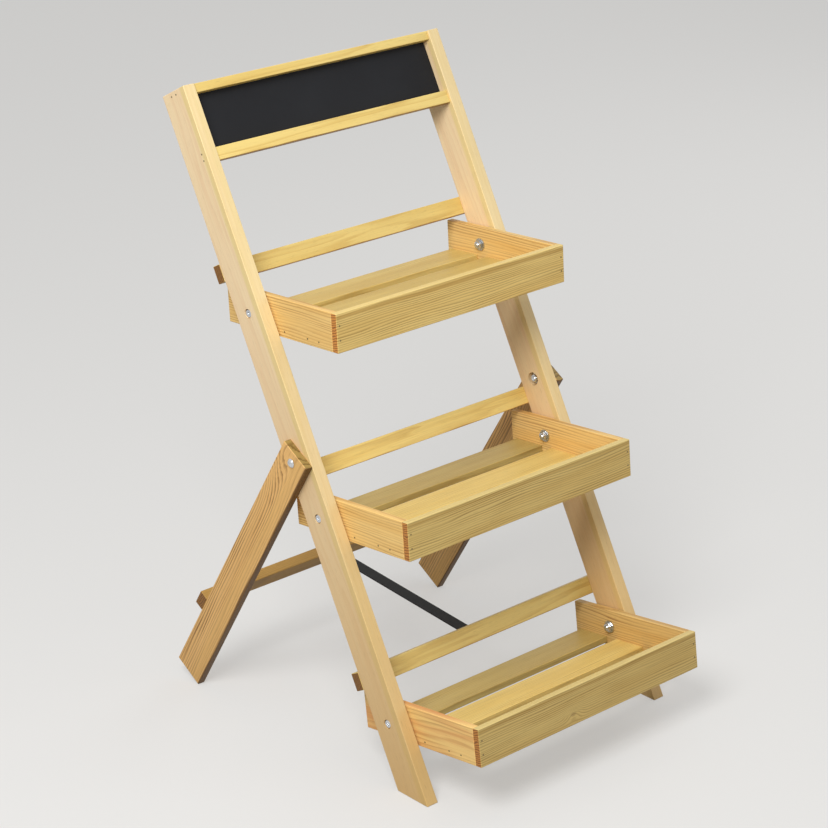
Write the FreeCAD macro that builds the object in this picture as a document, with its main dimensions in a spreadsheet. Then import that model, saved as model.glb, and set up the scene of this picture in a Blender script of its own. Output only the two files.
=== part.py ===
import FreeCAD
import Part
import os
from collections import namedtuple

import Sketcher

# Folding plant stand in varnished softwood, in millimetres.
#
# Two long boards lean back from the floor. Three trays hang between them on bolts, each one
# able to tip until its sides meet a stop rail behind the boards. Two rear legs, joined by a
# crossbar, hinge on the outer faces of the leaning boards, and a webbing strap holds them apart.
#
# X runs to the right, the trays open toward -Y, and Z is up from the floor. Lengths "along" a
# leaning board start at the tip of its foot, and lengths "back" start at its front edge.

Vector = FreeCAD.Vector
Rotation = FreeCAD.Rotation

SIDES = (("left", -1), ("right", 1))
TIERS = ("bottom", "middle", "top")
SLATS = ("front", "middle", "rear")

SIZES = (
    ("frame_lean", 28.5),
    ("frame_outer_width", 438),
    ("upright_length", 965),
    ("upright_width", 50),
    ("upright_thickness", 18),
    ("edge_round", 1),
    ("seat_gap", 0.3),
    ("hole_clearance", 0.08),
    ("tray_side_gap", 2),
    ("tray_depth", 216),
    ("tray_height", 51.5),
    ("tray_front_thickness", 10),
    ("tray_side_thickness", 10),
    ("slat_width", 50),
    ("slat_thickness", 9),
    ("slat_up", 3.5),
    ("front_slat_gap", 12.5),
    ("rear_slat_inset", 9),
    ("tray_pivot_from_front", 150.5),
    ("tray_pivot_up", 28),
    ("bottom_pivot_along", 114.5),
    ("pivot_spacing", 276),
    ("bottom_tray_fall", 8),
    ("middle_tray_fall", 5.5),
    ("top_tray_fall", 4.2),
    ("stop_rail_width", 24),
    ("stop_rail_thickness", 15),
    ("top_rail_thickness", 12),
    ("top_rail_width", 38),
    ("top_rail_setback", 3),
    ("board_rail_height", 17.5),
    ("board_rail_thickness", 12.7),
    ("board_rail_setback", 3),
    ("board_rail_below_top", 85),
    ("panel_thickness", 3),
    ("panel_edge_round", 0.4),
    ("panel_groove_depth", 5),
    ("panel_lap", 13),
    ("panel_side_clearance", 0.4),
    ("leg_length", 468),
    ("leg_width", 50),
    ("leg_thickness", 11),
    ("leg_side_gap", 0.5),
    ("leg_pivot_from_end", 16),
    ("leg_pivot_along", 469),
    ("crossbar_below_pivot", 318),
    ("strap_width", 20),
    ("strap_thickness", 1.6),
    ("strap_tab", 17),
    ("strap_inset", 3),
    ("tack_spacing", 10),
    ("tack_diameter", 1.6),
    ("tack_length", 9),
    ("tack_head_diameter", 5),
    ("tack_head_height", 0.8),
    ("nail_diameter", 2.4),
    ("nail_length", 25),
    ("nail_spread", 22),
    ("front_nail_spread", 19),
    ("rail_nail_spread", 10.5),
    ("bolt_diameter", 6),
    ("bolt_end", 2),
    ("bolt_head_diameter", 10.8),
    ("bolt_head_height", 3.4),
    ("bolt_head_depth", 4),
    ("bolt_head_clearance", 0.8),
    ("washer_diameter", 17),
    ("washer_thickness", 1.4),
    ("nut_across_flats", 10),
    ("nut_height", 5),
    ("leg_head_diameter", 12.4),
    ("leg_head_height", 3.5),
    ("leg_nut_pocket_depth", 8),
    ("leg_bolt_end", 0.8),
)

Frame = namedtuple("Frame", "angle y z")

doc = FreeCAD.newDocument("plant_stand")
nodes = []


# --- Sheets ---------------------------------------------------------------------------------

def fill_sheet(name, rows):
    sheet = doc.addObject("Spreadsheet::Sheet", name)
    for number, (alias, content) in enumerate(rows, start=1):
        cell = "A%d" % number
        sheet.set(cell, str(content))
        sheet.setAlias(cell, alias)
    doc.recompute()
    return sheet


def S(alias):
    return "Sizes." + alias


def D(alias):
    return "Derived." + alias


def frame_y(along, back):
    """World depth of a point on the leaning frame."""
    return "sin(%s) * (%s) + cos(%s) * (%s)" % (S("frame_lean"), along, S("frame_lean"), back)


def frame_z(along, back):
    """World height of a point on the leaning frame."""
    return "cos(%s) * (%s) - sin(%s) * (%s)" % (S("frame_lean"), along, S("frame_lean"), back)


def derived_rows():
    """Places that follow from the driving sizes, as formulas."""
    lean = S("frame_lean")
    centre = S("upright_width") + " / 2"
    rows = []

    for number, tier in enumerate(TIERS):
        along = "%s + %d * %s" % (S("bottom_pivot_along"), number, S("pivot_spacing"))
        fall = S(tier + "_tray_fall")
        rows.append((tier + "_pivot_along", "=" + along))
        pivot_y = frame_y(along, centre)
        pivot_z = frame_z(along, centre)
        front = S("tray_pivot_from_front")
        up = S("tray_pivot_up")
        rows.append((tier + "_tray_y", "=%s - cos(%s) * %s - sin(%s) * %s"
                     % (pivot_y, fall, front, fall, up)))
        rows.append((tier + "_tray_z", "=%s + sin(%s) * %s - cos(%s) * %s"
                     % (pivot_z, fall, front, fall, up)))

    # The slats are spread evenly between the gap behind the front board and the rear inset.
    rows.append(("slat_spacing", "=(%s - %s - %s - %s - %s) / %d"
                 % (S("tray_depth"), S("tray_front_thickness"), S("front_slat_gap"),
                    S("rear_slat_inset"), S("slat_width"), len(SLATS) - 1)))

    # A level tray's top edge lies one seat gap under the rear lower corner of its stop rail.
    reach = "%s / 2 + %s" % (S("upright_width"), S("stop_rail_thickness"))
    rise = "(%s - %s + %s)" % (S("tray_height"), S("tray_pivot_up"), S("seat_gap"))
    rows.append(("stop_above_pivot", "=(%s + (%s) * sin(%s)) / cos(%s)"
                 % (rise, reach, lean, lean)))

    # The rounded front corner of each rear foot touches the floor.
    pivot_y = frame_y(S("leg_pivot_along"), centre)
    pivot_z = frame_z(S("leg_pivot_along"), centre)
    long_arm = "(%s - %s - %s)" % (S("leg_length"), S("leg_pivot_from_end"), S("edge_round"))
    short_arm = "(%s / 2 - %s)" % (S("leg_width"), S("edge_round"))
    drop = "(%s - %s)" % (pivot_z, S("edge_round"))
    radius = "sqrt(%s ^ 2 + %s ^ 2)" % (long_arm, short_arm)
    rows.append(("leg_pivot_y", "=" + pivot_y))
    rows.append(("leg_pivot_z", "=" + pivot_z))
    rows.append(("leg_angle", "=(acos(%s / %s) + atan(%s / %s)) / 1 deg"
                 % (drop, radius, short_arm, long_arm)))

    # Half way between the tray front that stands out most and the top rear corners.
    rear = frame_y(S("upright_length"), S("upright_width"))
    rows.append(("middle_y", "=(%s + Derived.bottom_tray_y) / 2" % rear))
    return rows


def strap_rows():
    """The strap's two bends: on the bottom stop rail and on the crossbar."""
    rail_along = "Derived.bottom_pivot_along + Derived.stop_above_pivot + %s" % S("strap_inset")
    rail_back = "%s + %s + %s" % (S("upright_width"), S("stop_rail_thickness"), S("seat_gap"))
    bar_back = "(%s / 2 - %s)" % (S("leg_width"), S("seat_gap"))
    bar_down = "(%s + %s)" % (S("crossbar_below_pivot"), S("strap_inset"))
    angle = D("leg_angle")
    rows = [
        ("strap_rail_y", "=" + frame_y(rail_along, rail_back)),
        ("strap_rail_z", "=" + frame_z(rail_along, rail_back)),
        ("strap_bar_y", "=Derived.leg_pivot_y + cos(%s) * %s + sin(%s) * %s"
         % (angle, bar_back, angle, bar_down)),
        ("strap_bar_z", "=Derived.leg_pivot_z + sin(%s) * %s - cos(%s) * %s"
         % (angle, bar_back, angle, bar_down)),
    ]
    return rows


def strap_run_rows():
    run = "(Derived.strap_bar_y - Derived.strap_rail_y)"
    rise = "(Derived.strap_bar_z - Derived.strap_rail_z)"
    return [
        ("strap_run", "=sqrt(%s ^ 2 + %s ^ 2)" % (run, rise)),
        ("strap_rise", "=atan(%s / %s) / 1 deg" % (rise, run)),
    ]


sizes = fill_sheet("Sizes", SIZES)
derived = fill_sheet("Derived", derived_rows() + strap_rows() + strap_run_rows())


def value(expression):
    return float(sizes.evalExpression(expression))


# --- Frames: a tilt about X and the world place of the frame's own zero ----------------------

LEANING = Frame(S("frame_lean"), "0", "0")
REAR = Frame("(-%s)" % D("leg_angle"), D("leg_pivot_y"), D("leg_pivot_z"))
STRAP = Frame("(-%s)" % D("strap_rise"), D("strap_rail_y"), D("strap_rail_z"))
TRAYS = {
    tier: Frame(S(tier + "_tray_fall"), D(tier + "_tray_y"), D(tier + "_tray_z"))
    for tier in TIERS
}


def place(item, frame, x="0", back="0", up="0"):
    """Set a part's zero at a point of a tilted frame, turned with that frame."""
    item.Placement = FreeCAD.Placement(Vector(), Rotation(Vector(-1, 0, 0), value(frame.angle)))
    item.setExpression("Placement.Rotation.Angle", frame.angle)
    item.setExpression("Placement.Base.x", x)
    item.setExpression("Placement.Base.y", "%s + cos(%s) * (%s) + sin(%s) * (%s) - %s"
                       % (frame.y, frame.angle, back, frame.angle, up, D("middle_y")))
    item.setExpression("Placement.Base.z", "%s - sin(%s) * (%s) + cos(%s) * (%s)"
                       % (frame.z, frame.angle, back, frame.angle, up))


def finish(item, label):
    item.Label = label
    nodes.append(item)
    return item


# --- Boards ---------------------------------------------------------------------------------

def plane(body, role):
    for feature in body.Origin.OriginFeatures:
        if getattr(feature, "Role", "") == role:
            return feature
    raise ValueError(role)


def new_sketch(body, role, name, lift="0"):
    sketch = body.newObject("Sketcher::SketchObject", name)
    sketch.AttachmentSupport = [(plane(body, role), "")]
    sketch.MapMode = "FlatFace"
    sketch.setExpression("AttachmentOffset.Base.z", lift)
    return sketch


def bind(sketch, kind, arguments, expression):
    number = sketch.addConstraint(Sketcher.Constraint(kind, *arguments, value(expression)))
    sketch.setExpression("Constraints[%d]" % number, expression)


def draw_outline(sketch, points):
    """A closed outline from its first corner at the sketch's zero, points as expressions."""
    corners = [Vector(value(y), value(z), 0) for y, z in points]
    count = len(corners)
    for i in range(count):
        sketch.addGeometry(Part.LineSegment(corners[i], corners[(i + 1) % count]))
    for i in range(count):
        sketch.addConstraint(Sketcher.Constraint("Coincident", i, 2, (i + 1) % count, 1))
    sketch.addConstraint(Sketcher.Constraint("Coincident", 0, 1, -1, 1))
    for i in range(1, count):
        y, z = points[i]
        if y == "0":
            sketch.addConstraint(Sketcher.Constraint("PointOnObject", i, 1, -2))
        else:
            bind(sketch, "DistanceX", (-1, 1, i, 1), y)
        if z == "0":
            sketch.addConstraint(Sketcher.Constraint("PointOnObject", i, 1, -1))
        else:
            bind(sketch, "DistanceY", (-1, 1, i, 1), z)


def box_outline(depth, height):
    return [("0", "0"), (depth, "0"), (depth, height), ("0", height)]


def board(label, outline, length, rounding=None):
    """A board whose outline lies across X, padded evenly to both sides of its own zero."""
    body = doc.addObject("PartDesign::Body", label)
    sketch = new_sketch(body, "YZ_Plane", label + "_outline")
    draw_outline(sketch, outline)
    pad = body.newObject("PartDesign::Pad", label + "_pad")
    pad.Profile = sketch
    pad.SideType = "Symmetric"
    pad.setExpression("Length", length)
    rounds = body.newObject("PartDesign::Fillet", label + "_rounds")
    rounds.Base = (pad, [""])
    rounds.UseAllEdges = True
    rounds.setExpression("Radius", rounding or S("edge_round"))
    sketch.Visibility = False
    return finish(body, label)


def drill(body, name, role, face, centres, diameter, depth=None, forward=True):
    """Round holes from a face of the board.

    role names the plane the circles lie on and face its distance from zero. forward cuts
    toward the far side along -X from a YZ plane, or along +Y from an XZ plane.
    """
    lift = face if role == "YZ_Plane" else "0 - (%s)" % face
    sketch = new_sketch(body, role, "%s_%s_circles" % (body.Label, name), lift)
    for u, v in centres:
        circle = Part.Circle(Vector(value(u), value(v), 0), Vector(0, 0, 1), value(diameter) / 2)
        number = sketch.addGeometry(circle)
        bind(sketch, "DistanceX", (-1, 1, number, 3), u)
        bind(sketch, "DistanceY", (-1, 1, number, 3), v)
        bind(sketch, "Diameter", (number,), diameter)
    pocket = body.newObject("PartDesign::Pocket", "%s_%s" % (body.Label, name))
    pocket.Profile = sketch
    pocket.Reversed = not forward
    if depth is None:
        pocket.Type = "ThroughAll"
    else:
        pocket.setExpression("Length", depth)
    sketch.Visibility = False


# --- Turned and hexagonal pieces --------------------------------------------------------------

def along_x(item, sign, x, y="0", z="0"):
    """Stand a piece on a plane across X and point it outward, sign giving the side."""
    item.Placement = FreeCAD.Placement(Vector(), Rotation(Vector(0, 1, 0), 90 * sign))
    item.setExpression("Placement.Base.x", "%d * (%s)" % (sign, x))
    item.setExpression("Placement.Base.y", y)
    item.setExpression("Placement.Base.z", z)
    return item


def along_y(item, x, y, z, sign=1):
    """Stand a piece on a plane across Y, pointing to the rear, or forward with sign -1."""
    item.Placement = FreeCAD.Placement(Vector(), Rotation(Vector(1, 0, 0), -90 * sign))
    item.setExpression("Placement.Base.x", x)
    item.setExpression("Placement.Base.y", y)
    item.setExpression("Placement.Base.z", z)
    return item


def cylinder(diameter, height):
    item = doc.addObject("Part::Cylinder", "cylinder")
    item.setExpression("Radius", "(%s) / 2" % diameter)
    item.setExpression("Height", height)
    return item


def dome(diameter, height):
    """A slice of a sphere, flat below, whose zero is at the sphere's centre."""
    radius = dome_radius(diameter, height)
    item = doc.addObject("Part::Sphere", "dome")
    item.setExpression("Radius", radius)
    item.setExpression("Angle1", "asin((%s - %s) / (%s))" % (radius, height, radius))
    return item


def dome_radius(diameter, height):
    return "((%s / 2) ^ 2 + %s ^ 2) / (2 * %s)" % (diameter, height, height)


def hexagon(across_flats, height):
    item = doc.addObject("Part::Prism", "hexagon")
    item.Polygon = 6
    item.setExpression("Circumradius", "%s / sqrt(3)" % across_flats)
    item.setExpression("Height", height)
    return item


def fused(*pieces):
    item = doc.addObject("Part::MultiFuse", "fused")
    item.Shapes = list(pieces)
    return item


def cut(base, tool):
    item = doc.addObject("Part::Cut", "bored")
    item.Base = base
    item.Tool = tool
    return item


def group(label, pieces):
    item = doc.addObject("Part::Compound", label)
    item.Links = list(pieces)
    return finish(item, label)


def washer(sign, x):
    bore = "%s + 2 * %s" % (S("bolt_diameter"), S("seat_gap"))
    ring = along_x(cylinder(S("washer_diameter"), S("washer_thickness")), sign, x)
    hole = along_x(cylinder(bore, S("washer_thickness")), sign, x)
    return cut(ring, hole)


def nut(sign, x):
    bore = "%s + 2 * %s" % (S("bolt_diameter"), S("hole_clearance"))
    block = along_x(hexagon(S("nut_across_flats"), S("nut_height")), sign, x)
    hole = along_x(cylinder(bore, S("nut_height")), sign, x)
    return cut(block, hole)


def nail_across(sign, face, y, z):
    """A nail driven inward along X from a face at the given distance from the middle."""
    start = "%s - %s" % (face, S("nail_length"))
    return along_x(cylinder(S("nail_diameter"), S("nail_length")), sign, start, y, z)


# --- Places shared by the boards and their fasteners ------------------------------------------

half_outer = "%s / 2" % S("frame_outer_width")
half_inner = "(%s / 2 - %s)" % (S("frame_outer_width"), S("upright_thickness"))
upright_middle = "(%s / 2 - %s / 2)" % (S("frame_outer_width"), S("upright_thickness"))
upright_centre = "%s / 2" % S("upright_width")
tray_half_width = "(%s - %s)" % (half_inner, S("tray_side_gap"))
tray_side_middle = "(%s - %s / 2)" % (tray_half_width, S("tray_side_thickness"))
tray_half_inner = "(%s - %s)" % (tray_half_width, S("tray_side_thickness"))
leg_inner = "(%s / 2 + %s)" % (S("frame_outer_width"), S("leg_side_gap"))
leg_outer = "(%s + %s)" % (leg_inner, S("leg_thickness"))
leg_middle = "(%s + %s / 2)" % (leg_inner, S("leg_thickness"))
bolt_hole = "%s + 2 * %s" % (S("bolt_diameter"), S("hole_clearance"))
nail_hole = "%s + %s" % (S("nail_diameter"), S("hole_clearance"))
tack_hole = "%s + %s" % (S("tack_diameter"), S("hole_clearance"))
washer_pocket = "%s + 2 * %s" % (S("washer_diameter"), S("bolt_head_clearance"))
panel_front = "(%s + %s + %s)" % (S("board_rail_setback"), S("board_rail_thickness"),
                                  S("seat_gap"))
board_rail_up = "(%s - %s - %s)" % (S("upright_length"), S("board_rail_below_top"),
                                    S("board_rail_height"))


def spread(centre, spacing):
    """Two places, one each side of a centre."""
    return ["(%s - %s / 2)" % (centre, spacing), "(%s + %s / 2)" % (centre, spacing)]


slat_middle = "(%s + %s / 2)" % (S("slat_up"), S("slat_thickness"))


def slat_start(number):
    """Distance of a slat's front edge behind the tray's front face."""
    return "(%s + %s + %d * %s)" % (S("tray_front_thickness"), S("front_slat_gap"), number,
                                    D("slat_spacing"))


def stop_rail_along(tier):
    return "(Derived.%s_pivot_along + %s)" % (tier, D("stop_above_pivot"))


top_rail_nails = [
    ("(%s + %s)" % (S("top_rail_setback"), place_back),
     "(%s - %s / 2)" % (S("upright_length"), S("top_rail_thickness")))
    for place_back in spread("%s * 0.6" % S("top_rail_width"), S("rail_nail_spread"))
]
board_rail_nails = [
    ("(%s + %s / 2)" % (S("board_rail_setback"), S("board_rail_thickness")), place_along)
    for place_along in spread("(%s + %s / 2)" % (board_rail_up, S("board_rail_height")),
                              "%s / 2" % S("board_rail_height"))
]
stop_rail_nails = {
    tier: spread("(%s + %s / 2)" % (stop_rail_along(tier), S("stop_rail_width")),
                 S("rail_nail_spread"))
    for tier in TIERS
}


# --- Leaning frame ----------------------------------------------------------------------------

def make_upright(side, sign):
    """Leaning board: its foot is cut level with the floor and its top is square."""
    foot = "%s * tan(%s)" % (S("upright_width"), S("frame_lean"))
    outline = [
        ("0", "0"),
        (S("upright_width"), foot),
        (S("upright_width"), S("upright_length")),
        ("0", S("upright_length")),
    ]
    body = board("upright_" + side, outline, S("upright_thickness"))
    outward = "%d * %s / 2" % (sign, S("upright_thickness"))
    inward = "%d * %s / 2" % (-sign, S("upright_thickness"))
    right = sign > 0

    tray_bolts = [(upright_centre, D(tier + "_pivot_along")) for tier in TIERS]
    leg_bolt = [(upright_centre, S("leg_pivot_along"))]
    head_bore = "%s + 2 * %s" % (S("bolt_head_diameter"), S("bolt_head_clearance"))
    drill(body, "bolt_holes", "YZ_Plane", outward, tray_bolts + leg_bolt, bolt_hole,
          forward=right)
    drill(body, "head_pockets", "YZ_Plane", outward, tray_bolts, head_bore,
          S("bolt_head_depth"), forward=right)
    drill(body, "nut_pocket", "YZ_Plane", inward, leg_bolt, washer_pocket,
          S("leg_nut_pocket_depth"), forward=not right)
    drill(body, "rail_nail_holes", "YZ_Plane", outward, top_rail_nails + board_rail_nails,
          nail_hole, forward=right)

    stop_nails = [("0", along) for tier in TIERS for along in stop_rail_nails[tier]]
    depth = "%s - %s + %s" % (S("nail_length"), S("stop_rail_thickness"), S("seat_gap"))
    drill_from_back(body, "stop_nail_holes", S("upright_width"), stop_nails, nail_hole, depth)
    place(body, LEANING, "%d * %s" % (sign, upright_middle))


def drill_from_back(body, name, face, centres, diameter, depth=None):
    drill(body, name, "XZ_Plane", face, centres, diameter, depth, forward=False)


def drill_ends(body, name, centres, diameter, depth, half_length):
    """Blind holes in both ends of a board that lies along X."""
    drill(body, name + "_right", "YZ_Plane", half_length, centres, diameter, depth)
    drill(body, name + "_left", "YZ_Plane", "-1 * (%s)" % half_length, centres, diameter, depth,
          forward=False)


def make_top_rail():
    """Rail between the board tops, with the panel's groove underneath."""
    body = board("top_rail", box_outline(S("top_rail_width"), S("top_rail_thickness")),
                 "2 * %s" % half_inner)
    sketch = new_sketch(body, "YZ_Plane", "panel_groove_outline")
    front = "%s - %s - %s" % (panel_front, S("top_rail_setback"), S("seat_gap"))
    width = "%s + 2 * %s" % (S("panel_thickness"), S("seat_gap"))
    corners = [
        Vector(value(front), 0, 0),
        Vector(value(front), value(S("panel_groove_depth")), 0),
        Vector(value(front) + value(width), value(S("panel_groove_depth")), 0),
        Vector(value(front) + value(width), 0, 0),
    ]
    for i in range(4):
        sketch.addGeometry(Part.LineSegment(corners[i], corners[(i + 1) % 4]))
    for i in range(4):
        sketch.addConstraint(Sketcher.Constraint("Coincident", i, 2, (i + 1) % 4, 1))
    for edge in (0, 2):
        sketch.addConstraint(Sketcher.Constraint("Vertical", edge))
    for edge in (1, 3):
        sketch.addConstraint(Sketcher.Constraint("Horizontal", edge))
    sketch.addConstraint(Sketcher.Constraint("PointOnObject", 0, 1, -1))
    bind(sketch, "DistanceX", (-1, 1, 0, 1), front)
    bind(sketch, "DistanceX", (1, 1, 1, 2), width)
    bind(sketch, "DistanceY", (0, 1, 0, 2), S("panel_groove_depth"))
    groove = body.newObject("PartDesign::Pocket", "panel_groove")
    groove.Profile = sketch
    groove.Type = "ThroughAll"
    groove.SideType = "Symmetric"

    bottom = "%s - %s" % (S("upright_length"), S("top_rail_thickness"))
    centres = [("%s - %s" % (back, S("top_rail_setback")), "%s - (%s)" % (along, bottom))
               for back, along in top_rail_nails]
    depth = "%s - %s + %s" % (S("nail_length"), S("upright_thickness"), S("seat_gap"))
    drill_ends(body, "nail_holes", centres, nail_hole, depth, half_inner)
    place(body, LEANING, "0", S("top_rail_setback"), bottom)


def make_board_rail():
    """Narrow rail across the front, under the chalkboard."""
    outline = box_outline(S("board_rail_thickness"), S("board_rail_height"))
    body = board("board_rail", outline, "2 * %s" % half_inner)
    centres = [("%s - %s" % (back, S("board_rail_setback")), "%s - %s" % (along, board_rail_up))
               for back, along in board_rail_nails]
    depth = "%s - %s + %s" % (S("nail_length"), S("upright_thickness"), S("seat_gap"))
    drill_ends(body, "nail_holes", centres, nail_hole, depth, half_inner)
    place(body, LEANING, "0", S("board_rail_setback"), board_rail_up)


def make_panel():
    """Chalkboard: in the top rail's groove above, behind the board rail below."""
    top = "(%s - %s + %s - %s)" % (S("upright_length"), S("top_rail_thickness"),
                                   S("panel_groove_depth"), S("seat_gap"))
    bottom = "(%s + %s - %s)" % (board_rail_up, S("board_rail_height"), S("panel_lap"))
    outline = box_outline(S("panel_thickness"), "%s - %s" % (top, bottom))
    body = board("chalkboard_panel", outline,
                 "2 * (%s - %s)" % (half_inner, S("panel_side_clearance")),
                 S("panel_edge_round"))
    place(body, LEANING, "0", panel_front, bottom)


def make_stop_rail(tier):
    """Rail behind both leaning boards, above a tray's pivots."""
    outline = box_outline(S("stop_rail_thickness"), S("stop_rail_width"))
    body = board("stop_rail_" + tier, outline, S("frame_outer_width"))
    up = stop_rail_along(tier)
    centres = [("%d * %s" % (sign, upright_middle), "%s - %s" % (along, up))
               for _, sign in SIDES for along in stop_rail_nails[tier]]
    drill_from_back(body, "nail_holes", S("stop_rail_thickness"), centres, nail_hole)
    if tier == "bottom":
        tacks = [(x, "%s + %s / 2" % (S("strap_inset"), S("strap_tab"))) for x in tack_places]
        drill_from_back(body, "tack_holes", S("stop_rail_thickness"), tacks, tack_hole,
                        S("tack_length"))
    place(body, LEANING, "0", S("upright_width"), up)


def make_frame_nails():
    pieces = [
        nail_across(sign, half_outer, back, along)
        for _, sign in SIDES
        for back, along in top_rail_nails + board_rail_nails
    ]
    place(group("frame_nails", pieces), LEANING)


def make_stop_rail_nails():
    back = "%s + %s" % (S("upright_width"), S("stop_rail_thickness"))
    pieces = [
        along_y(cylinder(S("nail_diameter"), S("nail_length")),
                "%d * %s" % (sign, upright_middle), back, along, sign=-1)
        for tier in TIERS
        for _, sign in SIDES
        for along in stop_rail_nails[tier]
    ]
    place(group("stop_rail_nails", pieces), LEANING)


# --- Trays ------------------------------------------------------------------------------------

def make_tray_side(tier, side, sign):
    name = "tray_%s_side_%s" % (tier, side)
    length = "%s - %s" % (S("tray_depth"), S("tray_front_thickness"))
    body = board(name, box_outline(length, S("tray_height")), S("tray_side_thickness"))
    outward = "%d * %s / 2" % (sign, S("tray_side_thickness"))
    pivot = [("%s - %s" % (S("tray_pivot_from_front"), S("tray_front_thickness")),
              S("tray_pivot_up"))]
    drill(body, "bolt_hole", "YZ_Plane", outward, pivot, bolt_hole, forward=sign > 0)
    slat_nails = [("%s - %s" % (y, S("tray_front_thickness")), slat_middle)
                  for y in slat_nail_places()]
    drill(body, "slat_nail_holes", "YZ_Plane", outward, slat_nails, nail_hole,
          forward=sign > 0)
    front_nails = [("0", z) for z in front_nail_places]
    depth = "%s - %s + %s" % (S("nail_length"), S("tray_front_thickness"), S("seat_gap"))
    drill(body, "front_nail_holes", "XZ_Plane", "0", front_nails, nail_hole, depth)
    place(body, TRAYS[tier], "%d * %s" % (sign, tray_side_middle), S("tray_front_thickness"))


def slat_nail_places():
    return [y for number in range(len(SLATS))
            for y in spread("%s + %s / 2" % (slat_start(number), S("slat_width")),
                            S("nail_spread"))]


front_nail_places = spread("%s / 2" % S("tray_height"), S("front_nail_spread"))


def make_tray_front(tier):
    """Front board, as wide as the tray, nailed over the side ends."""
    outline = box_outline(S("tray_front_thickness"), S("tray_height"))
    body = board("tray_%s_front" % tier, outline, "2 * %s" % tray_half_width)
    centres = [("%d * %s" % (sign, tray_side_middle), z)
               for _, sign in SIDES for z in front_nail_places]
    drill(body, "nail_holes", "XZ_Plane", "0", centres, nail_hole)
    place(body, TRAYS[tier])


def make_slat(tier, number):
    body = board("tray_%s_slat_%s" % (tier, SLATS[number]),
                 box_outline(S("slat_width"), S("slat_thickness")), "2 * %s" % tray_half_inner)
    centres = [(y, "%s / 2" % S("slat_thickness"))
               for y in spread("%s / 2" % S("slat_width"), S("nail_spread"))]
    depth = "%s - %s + %s" % (S("nail_length"), S("tray_side_thickness"), S("seat_gap"))
    drill_ends(body, "nail_holes", centres, nail_hole, depth, tray_half_inner)
    place(body, TRAYS[tier], "0", slat_start(number), S("slat_up"))


def make_tray_nails(tier):
    pieces = [
        along_y(cylinder(S("nail_diameter"), S("nail_length")),
                "%d * %s" % (sign, tray_side_middle), "0", z)
        for _, sign in SIDES
        for z in front_nail_places
    ]
    pieces += [
        nail_across(sign, tray_half_width, y, slat_middle)
        for _, sign in SIDES
        for y in slat_nail_places()
    ]
    place(group("tray_%s_nails" % tier, pieces), TRAYS[tier])


def make_tray_bolts(tier):
    """Bolts from outside, with a washer on each face of the tray side and a nut within."""
    inner_washer = "(%s - %s - %s)" % (tray_half_inner, S("seat_gap"), S("washer_thickness"))
    gap_washer = "(%s + (%s - %s) / 2)" % (tray_half_width, S("tray_side_gap"),
                                           S("washer_thickness"))
    nut_start = "(%s - %s)" % (inner_washer, S("nut_height"))
    end = "(%s - %s)" % (nut_start, S("bolt_end"))
    under_head = "(%s - %s)" % (half_outer, S("bolt_head_depth"))
    bolts = []
    washers = []
    nuts = []
    for _, sign in SIDES:
        shank = along_x(cylinder(S("bolt_diameter"), "%s - %s" % (under_head, end)), sign, end)
        head = along_x(cylinder(S("bolt_head_diameter"), S("bolt_head_height")), sign,
                       under_head)
        bolts.append(fused(shank, head))
        washers += [washer(sign, inner_washer), washer(sign, gap_washer)]
        nuts.append(nut(sign, nut_start))
    for kind, pieces in (("bolts", bolts), ("washers", washers), ("nuts", nuts)):
        item = group("tray_%s_pivot_%s" % (tier, kind), pieces)
        place(item, LEANING, "0", upright_centre, D(tier + "_pivot_along"))


# --- Rear legs --------------------------------------------------------------------------------

def make_leg(side, sign):
    """Plain board with square ends, zero at the lower front corner."""
    body = board("rear_leg_" + side, box_outline(S("leg_width"), S("leg_length")),
                 S("leg_thickness"))
    outward = "%d * %s / 2" % (sign, S("leg_thickness"))
    pivot_up = "%s - %s" % (S("leg_length"), S("leg_pivot_from_end"))
    drill(body, "bolt_hole", "YZ_Plane", outward, [("%s / 2" % S("leg_width"), pivot_up)],
          bolt_hole, forward=sign > 0)
    nails = [("0", "%s + %s" % (pivot_up, z)) for z in crossbar_nail_places]
    depth = "%s - %s + %s" % (S("nail_length"), S("stop_rail_thickness"), S("seat_gap"))
    drill_from_back(body, "crossbar_nail_holes", S("leg_width"), nails, nail_hole, depth)
    place(body, REAR, "%d * %s" % (sign, leg_middle), "-%s / 2" % S("leg_width"),
          "-(%s)" % pivot_up)


crossbar_up = "(-%s - %s)" % (S("crossbar_below_pivot"), S("stop_rail_width"))
crossbar_nail_places = spread("%s + %s / 2" % (crossbar_up, S("stop_rail_width")),
                              S("rail_nail_spread"))
tack_places = spread("0", S("tack_spacing"))


def make_crossbar():
    """Rail of the same stock as the stop rails, across the rear edges of the legs."""
    outline = box_outline(S("stop_rail_thickness"), S("stop_rail_width"))
    body = board("rear_crossbar", outline, "2 * %s" % leg_outer)
    centres = [("%d * %s" % (sign, leg_middle), "%s - %s" % (z, crossbar_up))
               for _, sign in SIDES for z in crossbar_nail_places]
    drill_from_back(body, "nail_holes", S("stop_rail_thickness"), centres, nail_hole)
    tack_up = "%s - %s - %s / 2" % (S("stop_rail_width"), S("strap_inset"), S("strap_tab"))
    drill(body, "tack_holes", "XZ_Plane", "0", [(x, tack_up) for x in tack_places], tack_hole,
          S("tack_length"))
    place(body, REAR, "0", "%s / 2" % S("leg_width"), crossbar_up)


def make_crossbar_nails():
    back = "%s / 2 + %s" % (S("leg_width"), S("stop_rail_thickness"))
    pieces = [
        along_y(cylinder(S("nail_diameter"), S("nail_length")), "%d * %s" % (sign, leg_middle),
                back, z, sign=-1)
        for _, sign in SIDES
        for z in crossbar_nail_places
    ]
    place(group("crossbar_nails", pieces), REAR)


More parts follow.
